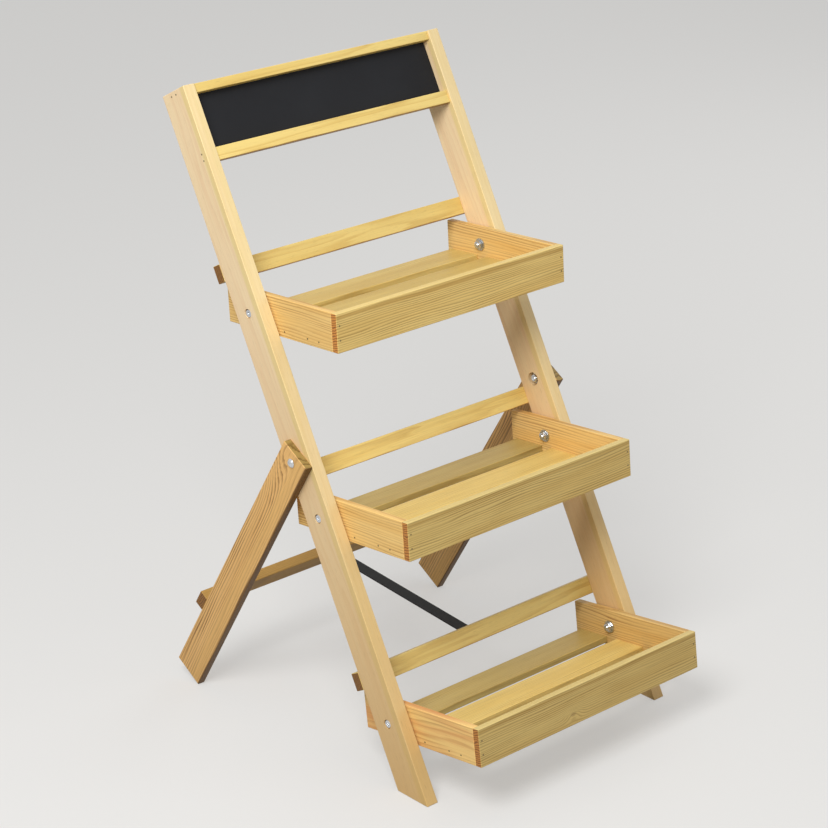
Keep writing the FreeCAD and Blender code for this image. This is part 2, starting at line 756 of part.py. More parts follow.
def make_leg_bolts():
    """Dome-headed bolts through leg and leaning board, nuts sunk in the inner face."""
    under_head = "(%s + %s)" % (leg_outer, S("seat_gap"))
    washer_start = "(%s + %s - %s)" % (half_inner, S("leg_nut_pocket_depth"),
                                       S("washer_thickness"))
    nut_start = "(%s - %s)" % (washer_start, S("nut_height"))
    end = "(%s - %s)" % (nut_start, S("leg_bolt_end"))
    diameter = S("leg_head_diameter")
    height = S("leg_head_height")
    bolts = []
    washers = []
    nuts = []
    for _, sign in SIDES:
        shank = along_x(cylinder(S("bolt_diameter"), "%s - %s" % (under_head, end)), sign, end)
        centre = "%s + %s - %s" % (under_head, height, dome_radius(diameter, height))
        head = along_x(dome(diameter, height), sign, centre)
        bolts.append(fused(shank, head))
        washers.append(washer(sign, washer_start))
        nuts.append(nut(sign, nut_start))
    for kind, pieces in (("bolts", bolts), ("washers", washers), ("nuts", nuts)):
        place(group("leg_pivot_" + kind, pieces), LEANING, "0", upright_centre,
              S("leg_pivot_along"))


# --- Strap ------------------------------------------------------------------------------------

def webbing(length, y="0", angle="0"):
    """A straight length of webbing whose upper face starts on the strap's line."""
    item = doc.addObject("Part::Box", "webbing")
    item.setExpression("Length", S("strap_width"))
    item.setExpression("Width", length)
    item.setExpression("Height", S("strap_thickness"))
    angle_now = value(angle)
    sign = -1 if angle_now < 0 else 1
    item.Placement = FreeCAD.Placement(Vector(), Rotation(Vector(sign, 0, 0), abs(angle_now)))
    if angle != "0":
        item.setExpression("Placement.Rotation.Angle", "%d * (%s)" % (sign, angle))
    item.setExpression("Placement.Base.x", "-%s / 2" % S("strap_width"))
    item.setExpression("Placement.Base.y", "%s + sin(%s) * %s" % (y, angle, S("strap_thickness")))
    item.setExpression("Placement.Base.z", "-cos(%s) * %s" % (angle, S("strap_thickness")))
    return item


rail_tab_angle = "(90 - %s - %s)" % (S("frame_lean"), D("strap_rise"))
bar_tab_angle = "(%s - 90 - %s)" % (D("leg_angle"), D("strap_rise"))


def tack_hole_in_strap(x, y, angle):
    """A drill standing across one tab, half way along it."""
    item = cylinder("%s + 2 * %s" % (S("tack_diameter"), S("hole_clearance")),
                    "4 * %s" % S("strap_thickness"))
    half_tab = "%s / 2" % S("strap_tab")
    low = "2 * %s" % S("strap_thickness")
    angle_now = value(angle)
    sign = -1 if angle_now < 0 else 1
    item.Placement = FreeCAD.Placement(Vector(), Rotation(Vector(sign, 0, 0), abs(angle_now)))
    item.setExpression("Placement.Rotation.Angle", "%d * (%s)" % (sign, angle))
    item.setExpression("Placement.Base.x", x)
    item.setExpression("Placement.Base.y", "%s + cos(%s) * %s + sin(%s) * %s"
                       % (y, angle, half_tab, angle, low))
    item.setExpression("Placement.Base.z", "sin(%s) * %s - cos(%s) * %s"
                       % (angle, half_tab, angle, low))
    return item


def make_strap():
    """Webbing pulled straight from the bottom stop rail to the crossbar, a tab on each."""
    run = webbing(D("strap_run"))
    rail_tab = webbing(S("strap_tab"), "0", rail_tab_angle)
    bar_tab = webbing(S("strap_tab"), D("strap_run"), bar_tab_angle)
    drills = [tack_hole_in_strap(x, "0", rail_tab_angle) for x in tack_places]
    drills += [tack_hole_in_strap(x, D("strap_run"), bar_tab_angle) for x in tack_places]
    strap = cut(fused(run, rail_tab, bar_tab), fused(*drills))
    place(finish(strap, "spread_strap"), STRAP)


def tack(x, face, z, sign):
    """A tack whose head bears on the webbing, its shank pointing along Y with the sign."""
    head_start = "%s - %d * (%s + %s)" % (face, sign, S("tack_head_height"),
                                         S("strap_thickness"))
    head = along_y(cylinder(S("tack_head_diameter"), S("tack_head_height")), x, head_start, z,
                   sign)
    length = "%s + %s + %s" % (S("tack_head_height"), S("strap_thickness"), S("tack_length"))
    shank = along_y(cylinder(S("tack_diameter"), length), x, head_start, z, sign)
    return fused(head, shank)


def make_tacks():
    rail_face = "%s + %s + 2 * %s" % (S("upright_width"), S("stop_rail_thickness"),
                                      S("seat_gap"))
    rail_up = "%s + %s + %s / 2" % (stop_rail_along("bottom"), S("strap_inset"), S("strap_tab"))
    pieces = [tack(x, rail_face, rail_up, -1) for x in tack_places]
    place(group("strap_tacks_front", pieces), LEANING)

    bar_face = "%s / 2 - 2 * %s" % (S("leg_width"), S("seat_gap"))
    bar_up = "-%s - %s - %s / 2" % (S("crossbar_below_pivot"), S("strap_inset"), S("strap_tab"))
    pieces = [tack(x, bar_face, bar_up, 1) for x in tack_places]
    place(group("strap_tacks_rear", pieces), REAR)


# --- Assembly ---------------------------------------------------------------------------------

for side, sign in SIDES:
    make_upright(side, sign)
    make_leg(side, sign)
make_top_rail()
make_board_rail()
make_panel()
make_frame_nails()
make_stop_rail_nails()
for tier in TIERS:
    make_stop_rail(tier)
    make_tray_front(tier)
    for side, sign in SIDES:
        make_tray_side(tier, side, sign)
    for number in range(len(SLATS)):
        make_slat(tier, number)
    make_tray_nails(tier)
    make_tray_bolts(tier)
make_leg_bolts()
make_crossbar()
make_crossbar_nails()
make_strap()
make_tacks()

doc.recompute()

for item in doc.Objects:
    if "Invalid" in item.State or "Error" in item.State:
        raise RuntimeError("failed object: " + item.Name)
    if item.TypeId == "PartDesign::Pocket":
        if item.Shape.Volume >= item.BaseFeature.Shape.Volume - 0.1:
            raise RuntimeError("pocket cuts nothing: " + item.Name)
for item in nodes:
    if item.Shape.isNull() or not item.Shape.isValid():
        raise RuntimeError("bad shape: " + item.Label)

os.makedirs("parts", exist_ok=True)
for item in nodes:
    item.Shape.exportStep("parts/" + item.Label + ".step")
print(len(nodes), "parts written")
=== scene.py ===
import math
from collections import namedtuple

import bmesh
import bpy
import numpy as np
from mathutils import Matrix, Vector


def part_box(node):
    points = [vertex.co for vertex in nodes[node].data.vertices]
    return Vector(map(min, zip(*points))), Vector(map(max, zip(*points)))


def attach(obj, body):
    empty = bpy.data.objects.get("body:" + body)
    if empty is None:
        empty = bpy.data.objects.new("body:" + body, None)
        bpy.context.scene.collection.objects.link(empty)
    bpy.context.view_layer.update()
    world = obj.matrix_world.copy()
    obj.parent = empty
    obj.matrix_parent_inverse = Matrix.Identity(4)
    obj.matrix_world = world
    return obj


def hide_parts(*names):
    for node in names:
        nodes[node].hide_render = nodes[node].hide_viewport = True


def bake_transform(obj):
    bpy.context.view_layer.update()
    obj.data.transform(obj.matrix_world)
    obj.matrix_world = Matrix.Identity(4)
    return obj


# Folding plant stand: the boards, the chalkboard, the nails and the tacks are the CAD solids,
# which get their finishes here. The bolts, nuts, washers and webbing strap are modelled here
# around the places the CAD gives. Shapes are worked out in millimetres and turned into metres
# when their mesh is made.

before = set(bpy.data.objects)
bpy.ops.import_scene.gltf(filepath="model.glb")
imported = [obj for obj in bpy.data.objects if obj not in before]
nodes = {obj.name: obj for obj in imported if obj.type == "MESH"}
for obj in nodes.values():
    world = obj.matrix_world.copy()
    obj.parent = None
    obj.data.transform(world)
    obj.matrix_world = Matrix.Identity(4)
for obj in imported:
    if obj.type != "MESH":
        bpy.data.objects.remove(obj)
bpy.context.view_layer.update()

MM = 0.001
TIERS = ("top", "middle", "bottom")
SIDES = (-1, 1)

# The leaning boards lean back by LEAN, the rear legs lean forward by LEG_ANGLE, and each tray
# tips back by its fall.
LEAN = math.radians(28.5)
LEG_ANGLE = math.radians(30.921)
TRAY_FALL = {"top": math.radians(4.2), "middle": math.radians(5.5), "bottom": math.radians(8.0)}


# --- Shader building ---------------------------------------------------------------------------

def linear(hex_colour):
    """A written sRGB colour as the linear one that shaders work with."""
    channels = [int(hex_colour[i:i + 2], 16) / 255 for i in (1, 3, 5)]
    decoded = [c / 12.92 if c <= 0.04045 else ((c + 0.055) / 1.055) ** 2.4 for c in channels]
    return (*decoded, 1.0)


def add(tree, kind, inputs=(), stops=(), **settings):
    """One node with its settings, ramp stops, and inputs that are values or other outputs."""
    node = tree.nodes.new(kind)
    for key, value in settings.items():
        setattr(node, key, value)
    while len(node.color_ramp.elements if stops else ()) < len(stops):
        node.color_ramp.elements.new(0.5)
    for number, (position, level) in enumerate(stops):
        node.color_ramp.elements[number].position = position
        node.color_ramp.elements[number].color = (level, level, level, 1)
    for key, value in dict(inputs).items():
        if isinstance(value, bpy.types.NodeSocket):
            tree.links.new(value, node.inputs[key])
        else:
            node.inputs[key].default_value = value
    return node


def new_material(name):
    material = bpy.data.materials.new(name)
    material.use_nodes = True
    material.node_tree.nodes.clear()
    return material, material.node_tree


def refinish(node, material):
    """Give a CAD node its one material."""
    nodes[node].data.materials.clear()
    nodes[node].data.materials.append(material)


def new_object(name, data):
    """An object of the scene that holds a mesh, a lamp or a lens."""
    made = bpy.data.objects.new(name, data)
    bpy.context.scene.collection.objects.link(made)
    return made


# --- Wood --------------------------------------------------------------------------------------

# Lengths are in millimetres. early and late colour the two parts of a ring, and ring is its
# width. contrast is how strongly the late part shows, and drift how strongly the stain does.
# pith is the ring centre's place across and through the board, wander is how far it strays and
# taper how fast the rings shift along it. fibre is how much the streaks lighten and darken.
# end_light and end_dark colour the sawn ends, and the foot colour is what the low end of a
# board runs to, darker and yellower; its darkening is painted shade, where less light falls
# towards the floor. bands are (colour, across, half width, strength) and knots are (along,
# across, radius, darkness).
Timber = namedtuple("Timber", "early late stain ring contrast pith taper wander drift fibre "
                              "end_light end_dark bands knots foot")

# Cloud patterns: the size of their features along, across and through the grain, in
# millimetres, and their octaves.
CLOUDS = (
    ("wander", (170, 45, 45), 1.0),
    ("uneven", (300, 12, 12), 2.0),
    ("patchy", (120, 15, 15), 2.0),
    ("drift", (260, 20, 20), 2.0),
    ("ragged", (120, 9, 9), 2.0),
    ("fibre", (70, 0.9, 0.9), 3.0),
    ("fleck", (14, 0.8, 0.8), 1.0),
)

# How far one seed moves a board along, across and through the log, in millimetres.
SEED_STEP = (907, 41, 23)

# Clouds push the rings by up to this many ring widths, and across one ring, from 0 to 1, the
# latewood darkens by these steps.
RING_SHIFT = 2.4
RING_STEPS = ((0.0, 0.0), (0.45, 0.06), (0.72, 0.7), (0.88, 1.0), (1.0, 0.0))

# A knot bulges the rings by this many of its radii and fades with the square of the distance,
# in which lengths along the grain count for less than those across.
KNOT_BULGE, KNOT_FADE, KNOT_ALONG = 2.2, -0.25, 0.55
KNOT_BROWN = "#6B3F1C"

# How ragged the bands' edges are, in millimetres.
BAND_RAGGED = 5.0

# Where along a board the foot colour is full and where it ends, from the board's middle, and
# its strength at the full end. Its darkening of the low end is painted shade.
FOOT_FULL, FOOT_GONE, FOOT_STRENGTH = -480.0, 150.0, 0.75

# How much a resin fleck darkens the wood, and how much a painted highlight lightens an arris.
FLECK_SHADE, ARRIS_HIGHLIGHT = 0.16, 1.12


def softwood(name, timber, axes, centre, seed, tone_and_painted_light):
    """Planed softwood under clear satin varnish. Growth rings about one pith line run through
    every face of a board, so sawn ends show arcs where the faces show lines; fine fibres
    follow the grain, and the ends, which drink more varnish, are darker. The arrises get a
    painted highlight. The tone is a lightness gain for the board: partly its own tone, mostly
    painted light and shade."""
    material, tree = new_material(name)
    turn = Matrix(axes).transposed().to_euler()
    place = add(tree, "ShaderNodeTexCoord")
    board = add(tree, "ShaderNodeMapping", {"Vector": place.outputs["Object"], "Location": centre,
                "Rotation": turn, "Scale": (MM, MM, MM)}, vector_type="TEXTURE").outputs[0]
    shifted = add(tree, "ShaderNodeVectorMath", {0: board, 1: [seed * s for s in SEED_STEP]},
                  operation="ADD").outputs[0]
    clouds = {}
    for cloud, size, octaves in CLOUDS:
        scaled = add(tree, "ShaderNodeVectorMath", {0: shifted, 1: [1 / s for s in size]},
                     operation="MULTIPLY").outputs[0]
        clouds[cloud] = add(tree, "ShaderNodeTexNoise", {"Vector": scaled, "Scale": 1.0,
                            "Detail": octaves}).outputs

    # Ring distance: how far a point lies from the wandering pith line.
    wander = timber.wander
    bent = add(tree, "ShaderNodeVectorMath", {0: clouds["wander"]["Color"],
               1: (0, 2 * wander, 2 * wander), 2: board}, operation="MULTIPLY_ADD").outputs[0]
    off_pith = add(tree, "ShaderNodeVectorMath", {0: bent,
                   1: (0, timber.pith[0] + wander, timber.pith[1] + wander)},
                   operation="SUBTRACT").outputs[0]
    flat = add(tree, "ShaderNodeVectorMath", {0: off_pith, 1: (0, 1, 1)},
               operation="MULTIPLY").outputs[0]
    distance = add(tree, "ShaderNodeVectorMath", {0: flat}, operation="LENGTH").outputs["Value"]
    along = add(tree, "ShaderNodeSeparateXYZ", {0: board})
    distance = add(tree, "ShaderNodeMath", {0: along.outputs[0], 1: timber.taper, 2: distance},
                   operation="MULTIPLY_ADD").outputs[0]

    # Rings bulge round each knot, falling off as exp(-reach^2 / 4), and its heart may be dark.
    hearts = []
    for knot_along, knot_across, radius, darkness in timber.knots:
        from_knot = add(tree, "ShaderNodeVectorMath", {0: board,
                        1: (knot_along, knot_across, 0)}, operation="SUBTRACT").outputs[0]
        scaled = add(tree, "ShaderNodeVectorMath", {0: from_knot,
                     1: (KNOT_ALONG / radius, 1 / radius, 0)}, operation="MULTIPLY").outputs[0]
        reach = add(tree, "ShaderNodeVectorMath", {0: scaled}, operation="LENGTH").outputs["Value"]
        square = add(tree, "ShaderNodeMath", {0: reach, 1: reach}, operation="MULTIPLY").outputs[0]
        faded = add(tree, "ShaderNodeMath", {0: square, 1: KNOT_FADE},
                    operation="MULTIPLY").outputs[0]
        swell = add(tree, "ShaderNodeMath", {0: faded}, operation="EXPONENT").outputs[0]
        distance = add(tree, "ShaderNodeMath", {0: swell, 1: KNOT_BULGE * radius, 2: distance},
                       operation="MULTIPLY_ADD").outputs[0]
        hearts.append(add(tree, "ShaderNodeMapRange", {"Value": reach, "From Min": 0.35,
                      "From Max": 0.8, "To Min": darkness, "To Max": 0.0}).outputs[0])

    # Each ring goes slowly from pale earlywood to a dark line of latewood, then starts again.
    count = add(tree, "ShaderNodeMath", {0: distance, 1: 1 / timber.ring},
                operation="MULTIPLY").outputs[0]
    uneven = add(tree, "ShaderNodeMath", {0: clouds["uneven"]["Fac"], 1: RING_SHIFT, 2: count},
                 operation="MULTIPLY_ADD").outputs[0]
    phase = add(tree, "ShaderNodeMath", {0: uneven}, operation="FRACT").outputs[0]
    ring = add(tree, "ShaderNodeValToRGB", {"Fac": phase}, stops=RING_STEPS).outputs[0]
    patchy = add(tree, "ShaderNodeMapRange", {"Value": clouds["patchy"]["Fac"], "From Min": 0.3,
                 "From Max": 0.7, "To Min": 0.25 * timber.contrast,
                 "To Max": timber.contrast}).outputs[0]
    late = add(tree, "ShaderNodeMath", {0: ring, 1: patchy}, operation="MULTIPLY",
               use_clamp=True).outputs[0]
    colour = add(tree, "ShaderNodeMix", {0: late, 6: linear(timber.early), 7: linear(timber.late)},
                 data_type="RGBA").outputs[2]

    # Broad drifts of stain, then bands along the board, painted shade towards its low end, and
    # the hearts of its knots.
    drift = add(tree, "ShaderNodeMapRange", {"Value": clouds["drift"]["Fac"], "From Min": 0.42,
                "From Max": 0.68, "To Min": 0.0, "To Max": timber.drift}).outputs[0]
    colour = add(tree, "ShaderNodeMix", {0: drift, 6: colour, 7: linear(timber.stain)},
                 data_type="RGBA").outputs[2]
    ragged = add(tree, "ShaderNodeMath", {0: clouds["ragged"]["Fac"], 1: BAND_RAGGED,
                 2: along.outputs[1]}, operation="MULTIPLY_ADD").outputs[0]
    for band_colour, across, half_width, strength in timber.bands:
        inside = add(tree, "ShaderNodeMath", {0: ragged, 1: across + BAND_RAGGED / 2},
                     operation="SUBTRACT").outputs[0]
        far = add(tree, "ShaderNodeMath", {0: inside}, operation="ABSOLUTE").outputs[0]
        cover = add(tree, "ShaderNodeMapRange", {"Value": far, "From Min": 0.5 * half_width,
                    "From Max": 1.4 * half_width, "To Min": strength, "To Max": 0.0},
                    interpolation_type="SMOOTHSTEP").outputs[0]
        colour = add(tree, "ShaderNodeMix", {0: cover, 6: colour, 7: linear(band_colour)},
                     data_type="RGBA").outputs[2]
    # Painted shade: the low end of the board darkens and yellows towards the foot colour.
    if timber.foot:
        low = add(tree, "ShaderNodeMapRange", {"Value": along.outputs[0], "From Min": FOOT_FULL,
                  "From Max": FOOT_GONE, "To Min": FOOT_STRENGTH, "To Max": 0.0}).outputs[0]
        colour = add(tree, "ShaderNodeMix", {0: low, 6: colour, 7: linear(timber.foot)},
                     data_type="RGBA").outputs[2]
    for heart in hearts:
        colour = add(tree, "ShaderNodeMix", {0: heart, 6: colour, 7: linear(KNOT_BROWN)},
                     data_type="RGBA").outputs[2]

    # Sawn ends: the same rings in stronger browns.
    facing = []
    for axis in axes:
        cosine = add(tree, "ShaderNodeVectorMath", {0: place.outputs["Normal"], 1: axis},
                     operation="DOT_PRODUCT").outputs["Value"]
        facing.append(add(tree, "ShaderNodeMath", {0: cosine}, operation="ABSOLUTE").outputs[0])
    sawn = add(tree, "ShaderNodeMapRange", {"Value": facing[0], "From Min": 0.75,
               "From Max": 0.97}).outputs[0]
    end_grain = add(tree, "ShaderNodeMix", {0: ring, 6: linear(timber.end_light),
                    7: linear(timber.end_dark)}, data_type="RGBA").outputs[2]
    colour = add(tree, "ShaderNodeMix", {0: sawn, 6: colour, 7: end_grain},
                 data_type="RGBA").outputs[2]

    # Fibres: streaks a fraction of a millimetre wide, drawn at 0.9 mm so that they show, and
    # a painted highlight on the arrises.
    fibre = clouds["fibre"]["Fac"]
    fleck = add(tree, "ShaderNodeMapRange", {"Value": clouds["fleck"]["Fac"], "From Min": 0.62,
                "From Max": 0.75, "To Min": 0.0, "To Max": FLECK_SHADE}).outputs[0]
    # The board's tone gain, mostly painted light and shade, scales the streaks' lightness.
    shade = add(tree, "ShaderNodeMapRange", {"Value": fibre, "From Min": 0.25, "From Max": 0.75,
                "To Min": tone_and_painted_light * (1 - timber.fibre),
                "To Max": tone_and_painted_light * (1 + timber.fibre)}).outputs[0]
    shade = add(tree, "ShaderNodeMath", {0: shade, 1: fleck}, operation="SUBTRACT").outputs[0]
    # Painted highlight: where a face turns at an edge, its colour is lightened.
    flattest = facing[0]
    for side in facing[1:]:
        flattest = add(tree, "ShaderNodeMath", {0: flattest, 1: side},
                       operation="MAXIMUM").outputs[0]
    painted_arris_highlight = add(tree, "ShaderNodeMapRange", {"Value": flattest, "From Min": 0.75,
                "From Max": 0.98, "To Min": ARRIS_HIGHLIGHT, "To Max": 1.0}).outputs[0]
    shade = add(tree, "ShaderNodeMath", {0: shade, 1: painted_arris_highlight}, operation="MULTIPLY").outputs[0]
    colour = add(tree, "ShaderNodeHueSaturation", {"Value": shade, "Color": colour}).outputs[0]

    gloss = add(tree, "ShaderNodeMapRange", {"Value": fibre, "From Min": 0.3, "From Max": 0.7,
                "To Min": 0.42, "To Max": 0.56}).outputs[0]
    relief = add(tree, "ShaderNodeMath", {0: late, 1: 0.6, 2: fibre},
                 operation="MULTIPLY_ADD").outputs[0]
    bump = add(tree, "ShaderNodeBump", {"Strength": 0.18, "Distance": 0.0004, "Height": relief})
    shader = add(tree, "ShaderNodeBsdfPrincipled", {"Base Color": colour, "Roughness": gloss,
                 "IOR": 1.5, "Specular IOR Level": 0.28, "Coat Weight": 0.08,
                 "Coat Roughness": 0.3, "Normal": bump.outputs[0]})
    add(tree, "ShaderNodeOutputMaterial", {0: shader.outputs[0]})
    return material


def tilted(angle):
    """The directions to the rear and upward of pieces that lean back by an angle."""
    return (0, math.cos(angle), -math.sin(angle)), (0, math.sin(angle), math.cos(angle))


ACROSS = (1, 0, 0)
LEANING_BACK, LEANING_UP = tilted(LEAN)
LEG_BACK, LEG_UP = tilted(-LEG_ANGLE)


def finish_board(node, timber, grain, width, seed):
    """Give a board its own cut of timber: the grain's and the width's directions turn the
    pattern, the board's middle is its zero, and the seed moves it along the log."""
    grain, width = Vector(grain), Vector(width)
    low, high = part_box(node)
    axes = (grain, width, grain.cross(width))
    refinish(node, softwood(node + "_wood", timber, axes, (low + high) / 2, seed,
                            TONE_AND_PAINTED_LIGHT.get(node, 1.0)))


# The upright's foot colour paints shade on its low end, where less light falls.
UPRIGHT = Timber(early="#F5DBB0", late="#E0B584", stain="#EFCBA0", ring=5.0, contrast=0.35,
                 pith=(38, -60), taper=0.015, wander=5, drift=0.5, fibre=0.035,
                 end_light="#D9B07A", end_dark="#A97A45", foot="#D2A864",
                 bands=(("#E8D084", -15, 5, 0.6), ("#F6E6A8", -25, 5, 0.6)), knots=())
# A dark brown line runs along the rails' lower edge, wider on the board rail.
RAIL = Timber(early="#EBD080", late="#BE9038", stain="#DDBA62", ring=3.0, contrast=0.55,
              pith=(10, -70), taper=0.006, wander=3, drift=0.5, fibre=0.06,
              end_light="#9A6A30", end_dark="#4F3013", foot=None,
              bands=(("#A87834", -12.2, 0.9, 0.8),), knots=())
BOARD_RAIL = RAIL._replace(bands=(("#94692C", -9.2, 1.3, 0.9),))
TRAY_FRONT = Timber(early="#DDC078", late="#835E24", stain="#C9A45A", ring=3.1, contrast=1.0,
                    pith=(150, -26), taper=0.004, wander=5, drift=0.45, fibre=0.09,
                    end_light="#C48440", end_dark="#6E4019", foot=None,
                    bands=(("#A57E38", 21, 2.0, 0.45), ("#DCC480", 26, 1.6, 0.9)), knots=())
TRAY_SIDE = Timber(early="#EAC47C", late="#99602A", stain="#DDAC5C", ring=3.8, contrast=0.85,
                   pith=(110, -30), taper=0.012, wander=4, drift=0.5, fibre=0.06,
                   end_light="#B98443", end_dark="#75461D", foot=None, bands=(), knots=())
SLAT = Timber(early="#E4C87A", late="#A37D36", stain="#CFA954", ring=3.0, contrast=0.7,
              pith=(84, -30), taper=0.006, wander=3, drift=0.4, fibre=0.07,
              end_light="#A9793A", end_dark="#6A431D", foot=None, bands=(), knots=())
# The leg's dark brown band along its front edge, at -25 across, is painted shade.
LEG = Timber(early="#E2B472", late="#6A3E14", stain="#C6944E", ring=3.9, contrast=1.0,
             pith=(95, -18), taper=0.01, wander=3, drift=0.3, fibre=0.12,
             end_light="#9C8148", end_dark="#6B5226", foot=None,
             bands=(("#D6AA66", -13, 9, 0.6), ("#5E3E14", -25, 2.2, 0.9)),
             knots=((226, 30, 17, 0.0),))
CROSSBAR = RAIL._replace(early="#BE9650", late="#85602C", stain="#A67E40", bands=())
FLAMED_SIDE = TRAY_SIDE._replace(stain="#CB8048", drift=0.8, ring=6.0, wander=9, contrast=0.55,
                                 pith=(-40, -24), taper=0.03)
TOP_FRONT = TRAY_FRONT._replace(bands=(("#A57E38", 20, 2.5, 0.55), ("#D6BC78", 26, 1.6, 0.9)))
KNOTTY_FRONT = TRAY_FRONT._replace(knots=((-35, -11, 4, 0.35),))

# Lightness of single boards beside their timber's own: partly each board's own tone, mostly
# painted light and shade, lighter where more light falls and darker where shade falls, as
# on the rear slats of the middle and bottom trays under the tray above.
TONE_AND_PAINTED_LIGHT = {
    "board_rail": 1.07, "top_rail": 1.03, "stop_rail_top": 0.95, "stop_rail_middle": 1.07,
    "stop_rail_bottom": 0.84, "tray_top_front": 1.22, "tray_middle_front": 1.05,
    "tray_top_side_left": 1.08, "tray_middle_side_left": 1.13, "tray_bottom_side_left": 1.15,
    "tray_top_side_right": 1.05, "tray_middle_side_right": 1.08, "tray_bottom_side_right": 0.92,
    "tray_top_slat_front": 0.92, "tray_top_slat_middle": 0.92,
    "tray_middle_slat_front": 1.12, "tray_middle_slat_middle": 1.12, "tray_middle_slat_rear": 0.74,
    "tray_bottom_slat_front": 1.13, "tray_bottom_slat_middle": 1.13, "tray_bottom_slat_rear": 0.77,
    "rear_leg_left": 1.17,
}


def finish_boards():
    for side, seed in (("left", 1), ("right", 2)):
        finish_board("upright_" + side, UPRIGHT, LEANING_UP, LEANING_BACK, seed)
        finish_board("rear_leg_" + side, LEG, LEG_UP, LEG_BACK, seed + 2)
    finish_board("top_rail", RAIL, ACROSS, LEANING_UP, 5)
    finish_board("board_rail", BOARD_RAIL, ACROSS, LEANING_UP, 6)
    finish_board("rear_crossbar", CROSSBAR, ACROSS, LEG_UP, 7)
    seed = 10
    fronts = {"top": TOP_FRONT, "middle": TRAY_FRONT, "bottom": KNOTTY_FRONT}
    left_sides = {"top": TRAY_SIDE, "middle": TRAY_SIDE, "bottom": FLAMED_SIDE}
    for tier in TIERS:
        back, up = tilted(TRAY_FALL[tier])
        finish_board("stop_rail_" + tier, RAIL, ACROSS, LEANING_UP, seed)
        finish_board("tray_%s_front" % tier, fronts[tier], ACROSS, up, seed + 1)
        finish_board("tray_%s_side_left" % tier, left_sides[tier], back, up, seed + 2)
        finish_board("tray_%s_side_right" % tier, TRAY_SIDE, back, up, seed + 3)
        for offset, place in ((4, "front"), (5, "middle"), (6, "rear")):
            finish_board("tray_%s_slat_%s" % (tier, place), SLAT, ACROSS, back, seed + offset)
        seed += 10


# --- Other finishes ----------------------------------------------------------------------------

def chalkboard_paint():
    """Hardboard rolled with matte blackboard paint: a fine orange-peel skin and a faint grey
    haze where chalk was wiped off."""
    material, tree = new_material("chalkboard_paint")
    place = add(tree, "ShaderNodeTexCoord").outputs["Object"]
    haze = add(tree, "ShaderNodeTexNoise", {"Vector": place, "Scale": 14.0,
               "Detail": 4.0}).outputs[0]
    dust = add(tree, "ShaderNodeMapRange", {"Value": haze, "From Min": 0.4, "From Max": 0.75,
               "To Min": 0.0, "To Max": 0.35}).outputs[0]
    colour = add(tree, "ShaderNodeMix", {0: dust, 6: linear("#17181C"), 7: linear("#232529")},
                 data_type="RGBA").outputs[2]
    peel = add(tree, "ShaderNodeTexNoise", {"Vector": place, "Scale": 700.0,
               "Detail": 2.0}).outputs[0]
    bump = add(tree, "ShaderNodeBump", {"Strength": 0.25, "Distance": 0.0003, "Height": peel})
    shader = add(tree, "ShaderNodeBsdfPrincipled", {"Base Color": colour, "Roughness": 0.75,
                 "IOR": 1.35, "Normal": bump.outputs[0]})
    add(tree, "ShaderNodeOutputMaterial", {0: shader.outputs[0]})
    return material


def zinc_plated_steel(name, dark, light, rough):
    """Zinc plating on turned steel: a cold silver with cloudy patches and soft glints. Under a
    film of varnish, as on the nails and tacks, it is a dull brown."""
    material, tree = new_material(name)
    place = add(tree, "ShaderNodeTexCoord").outputs["Object"]
    cloud = add(tree, "ShaderNodeTexNoise", {"Vector": place, "Scale": 420.0,
                "Detail": 3.0}).outputs[0]
    colour = add(tree, "ShaderNodeMix", {0: cloud, 6: linear(dark), 7: linear(light)},
                 data_type="RGBA").outputs[2]
    gloss = add(tree, "ShaderNodeMapRange", {"Value": cloud, "From Min": 0.3, "From Max": 0.7,
                "To Min": rough - 0.08, "To Max": rough + 0.08}).outputs[0]
    bump = add(tree, "ShaderNodeBump", {"Strength": 0.1, "Distance": 0.0002, "Height": cloud})
    shader = add(tree, "ShaderNodeBsdfPrincipled", {"Base Color": colour, "Metallic": 1.0,
                 "Roughness": gloss, "Normal": bump.outputs[0]})
    add(tree, "ShaderNodeOutputMaterial", {0: shader.outputs[0]})
    return material


# Spacing of the webbing's yarns along and across the strap, in millimetres.
YARN_ALONG, YARN_ACROSS = 1.6, 1.1


def polypropylene_webbing():
    """Black woven webbing: shiny yarns in a plain weave."""
    material, tree = new_material("polypropylene_webbing")
    uv = add(tree, "ShaderNodeUVMap", uv_map="length_and_width").outputs[0]
    turns = (math.pi / YARN_ALONG / MM, math.pi / YARN_ACROSS / MM, 0)
    angle = add(tree, "ShaderNodeVectorMath", {0: uv, 1: turns}, operation="MULTIPLY").outputs[0]
    split = add(tree, "ShaderNodeSeparateXYZ", {0: angle})
    along = add(tree, "ShaderNodeMath", {0: split.outputs[0]}, operation="SINE").outputs[0]
    across = add(tree, "ShaderNodeMath", {0: split.outputs[1]}, operation="SINE").outputs[0]
    weave = add(tree, "ShaderNodeMath", {0: along, 1: across}, operation="MULTIPLY").outputs[0]
    raised = add(tree, "ShaderNodeMapRange", {"Value": weave, "From Min": -1.0,
                 "From Max": 1.0}).outputs[0]
    colour = add(tree, "ShaderNodeMix", {0: raised, 6: linear("#060607"), 7: linear("#101113")},
                 data_type="RGBA").outputs[2]
    bump = add(tree, "ShaderNodeBump", {"Strength": 0.5, "Distance": 0.0003, "Height": raised})
    shader = add(tree, "ShaderNodeBsdfPrincipled", {"Base Color": colour, "Roughness": 0.6,
                 "Specular IOR Level": 0.35, "Normal": bump.outputs[0]})
    add(tree, "ShaderNodeOutputMaterial", {0: shader.outputs[0]})
    return material


# --- Bolts, nuts and washers -------------------------------------------------------------------

